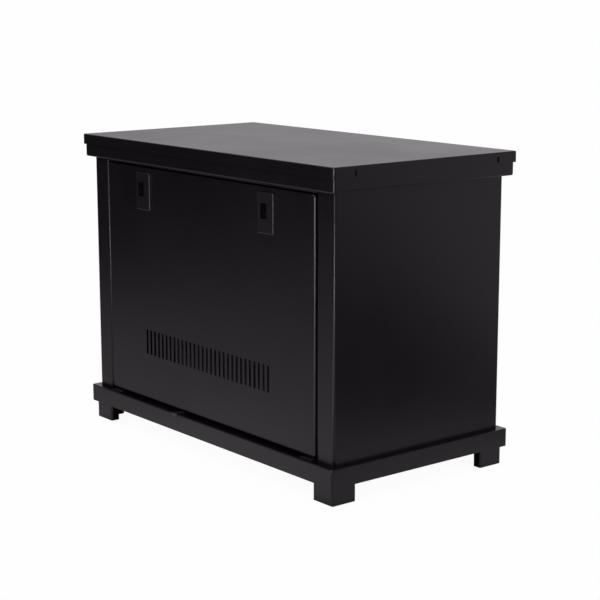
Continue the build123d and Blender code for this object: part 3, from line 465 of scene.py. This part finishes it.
# ---------------------------------------------------------------- mat under the batteries
def build_mat():
    """Rubber mat with ribs that run front to back."""
    left, right, front, back = -286.9, 286.9, -125.9, 105.9
    underside, groove = 57.55, 58.75
    end_width, end_drop = 0.5, 0.25
    ribs = 164
    # (share of the rib pitch, z)
    rib_profile = ((0.0, groove), (0.28, 58.8), (0.42, 59.3),
                   (0.56, 59.45), (0.72, 59.45), (0.86, 59.3))
    pitch = (right - left) / ribs
    outline = [(left + (i + share) * pitch, z) for i in range(ribs) for share, z in rib_profile]
    outline.append((right, groove))
    mesh = bmesh.new()
    rows = [add_row(mesh, [(x, y, z - drop) for x, z in outline])
            for y, drop in ((front, end_drop), (front + end_width, 0.0),
                            (back - end_width, 0.0), (back, end_drop))]
    low_front, low_back = [
        add_row(mesh, [(x, y, underside) for x, _ in outline]) for y in (front, back)]
    columns = range(len(outline) - 1)
    for near, far in zip(rows, rows[1:]):
        for j in columns:
            add_quad(mesh, near, far, j, j + 1)
    for j in columns:
        add_quad(mesh, low_front, rows[0], j, j + 1)
        add_quad(mesh, rows[-1], low_back, j, j + 1)
        add_quad(mesh, low_back, low_front, j, j + 1)
    for j in (0, -1):
        mesh.faces.new([low_front[j]] + [row[j] for row in rows] + [low_back[j]])
    fit("ribbed_mat", mesh, "seal_rubber", crisp=50.0, replaces="battery_mat")


build_mat()


# ---------------------------------------------------------------- foam boards
def add_board(mesh, middle):
    """One upright board: eased edges and a slightly uneven face on both sides."""
    front, length, bottom, height = -110.0, 200.0, 59.55, 149.9
    ease_height = 150.0  # height used to measure the distance from the edges
    half_thickness, ease_depth, ease_width = 1.88, 0.55, 5.0
    across, up = 40, 30
    grid = {}
    for side in (-1, 1):
        for i in range(across + 1):
            for k in range(up + 1):
                along, rise = i / across, k / up
                y = front + length * along
                z = bottom + height * rise
                edge = min(along * length, (1 - along) * length,
                           rise * ease_height, (1 - rise) * ease_height)
                ease = ease_depth * max(0.0, 1 - edge / ease_width) ** 2
                wave = 0.05 * (1 + math.sin(0.11 * y + middle) * math.cos(0.13 * z - side))
                x = middle + side * (half_thickness - ease - wave)
                grid[side, i, k] = mesh.verts.new((x, y, z))
    for side in (-1, 1):
        for i in range(across):
            for k in range(up):
                mesh.faces.new((grid[side, i, k], grid[side, i + 1, k],
                                grid[side, i + 1, k + 1], grid[side, i, k + 1]))
    rim = [(i, 0) for i in range(across)]
    rim += [(across, k) for k in range(up)]
    rim += [(i, up) for i in range(across, 0, -1)]
    rim += [(0, k) for k in range(up, 0, -1)]
    for here, after in zip(rim, rim[1:] + rim[:1]):
        mesh.faces.new((grid[(-1, *here)], grid[(-1, *after)],
                        grid[(1, *after)], grid[(1, *here)]))


def build_boards():
    """A board in each gap between the batteries."""
    mesh = bmesh.new()
    for middle in GAP_XS:
        add_board(mesh, middle)
    fit("spacer_boards", mesh, "spacer_foam_board", crisp=50.0, replaces="battery_spacers")


build_boards()

# ---------------------------------------------------------------- link shrouds
SHROUD_END = 10.9
# (x from the middle, fullness)
SHROUD_STATIONS = (
    (-SHROUD_END, 0.15), (-10.2, 0.32), (-8.6, 0.55), (-6.4, 0.82), (-3.5, 0.96), (0.0, 1.0),
    (3.4, 0.97), (6.2, 0.84), (8.5, 0.56), (10.2, 0.34), (SHROUD_END, 0.15),
)


def build_shrouds():
    """Heat-shrink shrouds on the links: full in the middle, drawn in at both ends."""
    link_z = 271.5
    sections = [(x, rounded_rect(18.6 + 2.3 * full, 3.6 + 1.75 * full, 0.7 + 0.45 * full))
                for x, full in SHROUD_STATIONS]
    bore = rounded_rect(18.12, 3.12, 0.12)
    sections += [(SHROUD_END, bore), (-SHROUD_END, bore)]
    mesh = bmesh.new()
    for middle in GAP_XS:
        rings = [add_row(mesh, [(middle + x, TERMINAL_Y + y, link_z + z) for y, z in section])
                 for x, section in sections]
        skin(mesh, rings, looped=True)
    fit("link_shrouds", mesh, "link_sleeve_plastic", crisp=42.0, replaces="link_sleeves")


build_shrouds()

# ---------------------------------------------------------------- cables
# Centre lines from the lug to the top, (x, y, z)
POSITIVE_RUN = (
    (261.0, -75.0, 276.0), (261.0, -68.0, 276.0), (261.0, -60.0, 276.0), (261.2, -45.9, 276.4),
    (261.8, -32.0, 278.0), (262.4, -18.3, 281.1), (262.3, -5.0, 285.8), (261.0, 7.7, 291.6),
    (258.2, 20.2, 297.4), (253.9, 32.7, 302.2), (248.5, 45.3, 305.2), (242.1, 57.8, 305.8),
    (235.1, 69.8, 304.0), (227.9, 81.4, 300.5), (220.5, 92.7, 296.5), (212.8, 104.1, 293.7),
    (204.9, 115.4, 295.4), (200.0, 122.3, 306.1), (199.0, 123.75, 320.0),
    (199.0, 123.75, 330.0), (199.0, 123.75, 339.9),
)
NEGATIVE_RUN = (
    (-261.0, -75.0, 276.0), (-261.0, -68.0, 276.0), (-261.0, -60.0, 276.0),
    (-260.0, -46.0, 277.4), (-256.6, -33.1, 282.2), (-251.0, -21.9, 288.9),
    (-245.1, -10.2, 294.3), (-239.2, 2.2, 297.7), (-233.2, 14.9, 299.9), (-226.8, 27.5, 301.1),
    (-219.8, 39.8, 301.7), (-211.8, 51.6, 301.9), (-202.7, 62.5, 302.0), (-192.3, 72.1, 302.2),
    (-180.8, 80.4, 302.3), (-168.5, 87.4, 302.3), (-155.5, 93.2, 302.2), (-142.2, 98.0, 301.8),
    (-128.5, 101.9, 301.3), (-114.7, 105.1, 300.4), (-100.8, 107.6, 299.1),
    (-86.9, 109.7, 297.6), (-72.9, 111.2, 296.0), (-58.8, 112.4, 294.3), (-44.7, 113.1, 292.9),
    (-30.6, 113.5, 291.7), (-16.4, 113.7, 291.1), (-2.2, 113.5, 291.2), (12.0, 113.2, 292.2),
    (26.0, 112.6, 294.4), (39.7, 112.0, 297.9), (53.0, 111.4, 302.7), (66.3, 110.9, 307.8),
    (79.9, 110.7, 311.9), (93.9, 110.9, 313.7), (108.0, 111.8, 312.4), (121.3, 113.1, 307.8),
    (133.6, 114.8, 300.9), (145.0, 116.6, 292.7), (156.5, 118.8, 284.7), (169.7, 121.4, 281.3),
    (178.1, 123.1, 291.9), (180.5, 123.6, 305.8), (181.0, 123.75, 320.0),
    (181.0, 123.75, 330.0), (181.0, 123.75, 339.9),
)
# Closed section of the collar at the lug barrel, (y, radius)
COLLAR_PROFILE = (
    (-80.5, 6.08), (-80.5, 6.45), (-79.0, 6.62), (-74.0, 6.6), (-68.0, 6.62), (-63.5, 6.55),
    (-62.0, 6.1), (-60.5, 5.35), (-58.5, 4.95), (-54.0, 4.75), (-51.2, 4.72), (-50.6, 4.5),
    (-50.6, 4.28), (-56.0, 4.3), (-61.5, 4.35), (-62.6, 6.06),
)
LUG_X, LUG_Z = 261.0, 276.0


def spline(points, step=3.0):
    """Catmull-Rom curve through the points, sampled about every `step` mm."""
    knots = [Vector(point) for point in points]
    last = len(knots) - 1
    path = []
    for i in range(last):
        before, start, end, after = (knots[max(i - 1, 0)], knots[i], knots[i + 1],
                                     knots[min(i + 2, last)])
        count = max(1, round((end - start).length / step))
        for k in range(count):
            part = k / count
            path.append(0.5 * (
                2 * start + (end - before) * part
                + (2 * before - 5 * start + 4 * end - after) * part * part
                + (3 * start - before - 3 * end + after) * part ** 3))
    path.append(knots[-1])
    return path


def build_jacket(pole, run, slot):
    """Cable jacket with the faint lay of the strands beneath it."""
    radius, lay_depth = 4.17, 0.03
    mesh = bmesh.new()
    path = spline(run)
    normal = (path[1] - path[0]).normalized().orthogonal().normalized()
    rings = []
    for i, centre in enumerate(path):
        tangent = (path[min(i + 1, len(path) - 1)] - path[max(i - 1, 0)]).normalized()
        normal = (normal - tangent * normal.dot(tangent)).normalized()
        binormal = tangent.cross(normal)
        reach = radius - lay_depth * (i % 2)
        rings.append(add_row(mesh, [
            centre + (normal * cos + binormal * sin) * reach for cos, sin in unit_circle(24)]))
    skin(mesh, rings)
    fit(f"{pole}_jacket", mesh, slot, crisp=60.0, replaces=f"{pole}_cable")


def build_collar(pole, side):
    """Heat-shrink collar that drifts outwards and up with the cable past y = -60."""
    mesh = bmesh.new()
    rings = []
    for y, radius in COLLAR_PROFILE:
        drift = max(0.0, (y + 60) / 9)
        # the x drift keeps its side, so each collar leans away from the middle
        x = side * LUG_X + side * 0.12 * drift
        z = LUG_Z + 0.22 * drift
        rings.append(add_row(mesh, [
            (x + radius * cos, y, z + radius * sin) for cos, sin in unit_circle(28)]))
    skin(mesh, rings, looped=True)
    fit(f"{pole}_lug_collar", mesh, "link_sleeve_plastic", crisp=45.0)


build_jacket("positive", POSITIVE_RUN, "cable_red")
build_collar("positive", side=1)
build_jacket("negative", NEGATIVE_RUN, "cable_black")
build_collar("negative", side=-1)

# ---------------------------------------------------------------- vent plugs
PLUG_YS = (-62.0, -20.0, 22.0)
KNURL_DEPTH = 0.28
# (radius, z, 1 where the rim is knurled)
PLUG_PROFILE = (
    (7.2, 269.02, 0), (7.2, 269.3, 0), (6.9, 269.45, 1), (6.9, 270.3, 1),
    (6.5, 270.55, 0), (5.2, 270.6, 0), (4.9, 270.1, 0), (4.6, 270.05, 0),
)
# Grip bar across the recess, (z, scale)
GRIP_STATIONS = ((270.06, 1.0), (270.75, 0.97), (270.95, 0.86))


def add_plug(mesh, x, y):
    rings = []
    for radius, z, knurled in PLUG_PROFILE:
        row = []
        for j, (cos, sin) in enumerate(unit_circle(60)):
            reach = radius - KNURL_DEPTH * knurled * (j % 2)
            row.append((x + reach * cos, y + reach * sin, z))
        rings.append(add_row(mesh, row))
    skin(mesh, rings)
    turn = math.radians(25 + 40 * ((x + y) % 3))
    cos, sin = math.cos(turn), math.sin(turn)
    rings = []
    for z, scale in GRIP_STATIONS:
        section = rounded_rect(8.6 * scale, 2.0 * scale, 0.6 * scale, steps=3)
        rings.append(add_row(mesh, [
            (x + along * cos - across * sin, y + along * sin + across * cos, z)
            for along, across in section]))
    skin(mesh, rings)


def build_plugs():
    """Three screwed vent plugs on each battery cover."""
    mesh = bmesh.new()
    for x in BATTERY_XS:
        for y in PLUG_YS:
            add_plug(mesh, x, y)
    fit("vent_plugs", mesh, "battery_lid_plastic", crisp=30.0)


build_plugs()

# ---------------------------------------------------------------- terminal rings
POLE_OFFSET = 48.0
# Closed section, (width of the square, z, corner radius)
POLE_RING_PROFILE = (
    (28.6, 259.55, 2.6), (28.6, 260.5, 2.6), (28.0, 260.9, 2.4),
    (20.2, 260.9, 1.9), (19.4, 260.5, 1.6), (19.4, 259.55, 1.6),
)


def build_pole_rings(name, side, slot):
    """Square rings round the terminal posts on one side of each battery."""
    mesh = bmesh.new()
    for battery_x in BATTERY_XS:
        middle = battery_x + side * POLE_OFFSET
        rings = [add_row(mesh, [(middle + x, TERMINAL_Y + y, z)
                                for x, y in rounded_rect(width, width, radius)])
                 for width, z, radius in POLE_RING_PROFILE]
        skin(mesh, rings, looped=True)
    fit(name, mesh, slot, crisp=35.0)


build_pole_rings("pole_rings_positive", 1, "cable_red")
build_pole_rings("pole_rings_negative", -1, "link_sleeve_plastic")


# ---------------------------------------------------------------- rating labels
def build_labels():
    """A thin rating plate on the front of each battery."""
    width, height, corner, middle_z = 86.0, 17.0, 1.8, 233.2
    mesh = bmesh.new()
    for battery_x in BATTERY_XS:
        rings = []
        for y, inset in ((-124.52, 0.0), (-124.74, 0.0), (-124.8, 0.12)):
            outline = rounded_rect(width - 2 * inset, height - 2 * inset, corner - inset)
            rings.append(add_row(mesh, [(battery_x + x, y, middle_z + z) for x, z in outline]))
        skin(mesh, rings)
    fit("rating_labels", mesh, "battery_lid_plastic", crisp=30.0, look="rating_label")


build_labels()


# ---------------------------------------------------------------- floor
def floor_glow(net, x, y):
    """Brightness of the floor as the paint mirrors it."""
    stretched = net.math("POWER", net.times(x, by=1.25), 2.0)
    radius = net.math("SQRT", net.math("ADD", stretched, net.math("POWER", y, 2.0)))
    # bright close to the cabinet, falling off with distance; ramps end at 4 m
    glow = net.ramp(net.math("DIVIDE", radius, 4.0), [
        (0.0, 0.60), (0.085, 0.55), (0.11, 0.43), (0.14, 0.40), (0.19, 0.34), (0.24, 0.335),
        (0.33, 0.272), (0.40, 0.19), (0.49, 0.13), (0.58, 0.085), (0.68, 0.035), (0.8, 0.02)])
    # brighter far out, except in the sector from the left side to the front left
    azimuth = net.math("ARCTAN2", y, x)
    lift = net.times(net.span(azimuth, over=(-2.42, -2.28), to=(0.0, 1.5)),
                     by=net.span(radius, over=(1.55, 2.3)))
    glow = net.mix(lift, glow, net.mix(1.0, glow, (2.0, 2.0, 2.0), "MULTIPLY"))
    # the rear right is brighter away from the cabinet's side
    slant = net.math("SUBTRACT", y, net.times(x, by=0.6))
    rear = net.ramp(net.span(slant, over=(-0.5, 0.5)), [
        (0.0, 0.18), (0.3, 0.045), (0.42, 0.062), (0.47, 0.066), (0.52, 0.066),
        (0.6, 0.10), (0.7, 0.235), (0.8, 0.42), (0.9, 0.50), (1.0, 0.52)])
    rear = net.mix(net.span(radius, over=(0.9, 0.52)), rear, (0.50, 0.49, 0.50))
    to_rear_right = net.times(net.span(x, over=(0.15, 0.45)), by=net.span(y, over=(-0.25, 0.1)))
    glow = net.mix(to_rear_right, glow, rear)
    # a bright sector at the front right puts thin highlights on the upright rolled edges
    turn = net.math("ADD", azimuth, net.span(radius, over=(0.6, 2.7), to=(0.30, 0.0)))
    sector = net.times(net.span(turn, over=(-1.12, -0.92)),
                       by=net.span(turn, over=(-0.50, -0.66)))
    bright = net.ramp(net.math("DIVIDE", radius, 4.0), [
        (0.0, 0.8), (0.18, 0.8), (0.30, 0.85), (0.5, 0.95), (0.62, 1.0), (1.0, 1.0)])
    gain = net.mix(net.span(radius, over=(1.8, 2.7)), (1.8, 1.74, 1.8), (8.2, 7.9, 8.2))
    bright = net.mix(1.0, bright, gain, "MULTIPLY")
    sector = net.times(sector, by=net.span(radius, over=(0.40, 0.52)))
    glow = net.mix(sector, glow, bright)
    # the ground under the cabinet is in its shadow
    under = net.times(net.span(net.math("ABSOLUTE", x), over=(0.33, 0.29)),
                      by=net.span(net.math("ABSOLUTE", y), over=(0.19, 0.15)))
    return net.mix(under, glow, (0.02, 0.02, 0.02))


def floor_material():
    """Near-white with a contact shadow to the camera, a painted glow to other rays."""
    mat = bpy.data.materials.new("studio_floor")
    mat.use_nodes = True
    net = Net(mat.node_tree)
    output = net.add("OutputMaterial")
    x, y, _ = net.axes(net.add("NewGeometry").outputs["Position"])
    occlusion = net.add("AmbientOcclusion", {"Distance": 0.10}, samples=8)
    white = net.ramp(occlusion.outputs["AO"], [(0.0, 0.93), (0.35, 0.975), (0.75, 0.99)])
    seen = net.add("Emission", {"Color": white})
    lighting = net.add("Emission", {"Color": floor_glow(net, x, y)})
    net.split_by_ray(output, lighting, seen)
    return mat


def build_floor():
    half, z = 14, -0.0004
    corners = [(-half, -half, z), (half, -half, z), (half, half, z), (-half, half, z)]
    mat = floor_material()
    data = bpy.data.meshes.new("studio_floor")
    data.from_pydata(corners, [], [[0, 1, 2, 3]])
    floor = bpy.data.objects.new("studio_floor", data)
    SCENE.collection.objects.link(floor)
    data.materials.append(mat)


build_floor()


# ---------------------------------------------------------------- world
def build_world():
    """Bright backdrop behind, softer on the right, dim room in front."""
    world = bpy.data.worlds.new("studio")
    SCENE.world = world
    world.use_nodes = True
    net = Net(world.node_tree)
    output = net.add("OutputWorld")
    x, y, z = net.axes(net.add("TexCoord").outputs["Generated"])
    left = net.ramp(z, [
        (0.0, (0.54, 0.514, 0.54)), (0.17, (0.635, 0.606, 0.635)), (0.22, (0.72, 0.687, 0.72)),
        (0.35, (0.73, 0.697, 0.73)), (0.6, (0.48, 0.46, 0.48)), (1.0, 0.36)])
    lift = net.span(x, over=(-0.79, -0.68), to=(0.0, 0.12))
    left = net.mix(lift, left, net.mix(1.0, left, (2.0, 2.0, 2.0), "MULTIPLY"))
    right = net.ramp(z, [(0.0, 0.24), (0.3, 0.30), (1.0, 0.38)])
    behind = net.mix(net.span(x, over=(-0.45, 0.25)), left, right)
    ahead = net.ramp(z, [(0.0, 0.03), (0.35, 0.06), (0.75, 0.34), (1.0, 0.40)])
    room = net.mix(net.span(y, over=(-0.25, 0.5)), ahead, behind)
    lighting = net.add("Background", {"Color": room})
    seen = net.add("Background", {"Color": (0.99, 0.99, 0.99)})
    net.split_by_ray(output, lighting, seen)


build_world()


# ---------------------------------------------------------------- lights
def softbox(name, place, aim, width, height, power):
    light = bpy.data.lights.new(name, "AREA")
    light.shape = "RECTANGLE"
    light.size = width
    light.size_y = height
    light.energy = power
    lamp = bpy.data.objects.new(name, light)
    SCENE.collection.objects.link(lamp)
    lamp.location = place
    lamp.rotation_euler = (Vector(aim) - Vector(place)).to_track_quat("-Z", "Y").to_euler()


softbox("key", place=(-0.6, -2.6, 2.6), aim=(0, 0, 0.25), width=1.6, height=1.2, power=55)
softbox("edge_light", place=(2.05, -2.45, 0.75), aim=(0, 0, 0.30),
        width=1.1, height=1.3, power=10)
softbox("right_fill", place=(2.8, 1.6, 1.5), aim=(0.2, 0, 0.3),
        width=1.4, height=1.8, power=1.5)


# ---------------------------------------------------------------- camera
def build_camera():
    """Long lens from the front right, a little above the cabinet."""
    right = (0.6253638, 0.7803326, -0.0010628)
    up = (-0.1513844, 0.1226564, 0.9808354)
    back = (0.7655082, -0.6132181, 0.194835)
    lens = bpy.data.cameras.new("camera")
    lens.sensor_width = 36.0
    lens.lens = 95.2969
    lens.clip_end = 60.0
    camera = bpy.data.objects.new("camera", lens)
    SCENE.collection.objects.link(camera)
    pose = Matrix((right, up, back)).transposed().to_4x4()
    pose.translation = (1.946662, -1.53562, 0.72047)
    camera.matrix_world = pose
    SCENE.camera = camera


build_camera()
SCENE.view_settings.view_transform = "Standard"
SCENE.view_settings.look = "None"
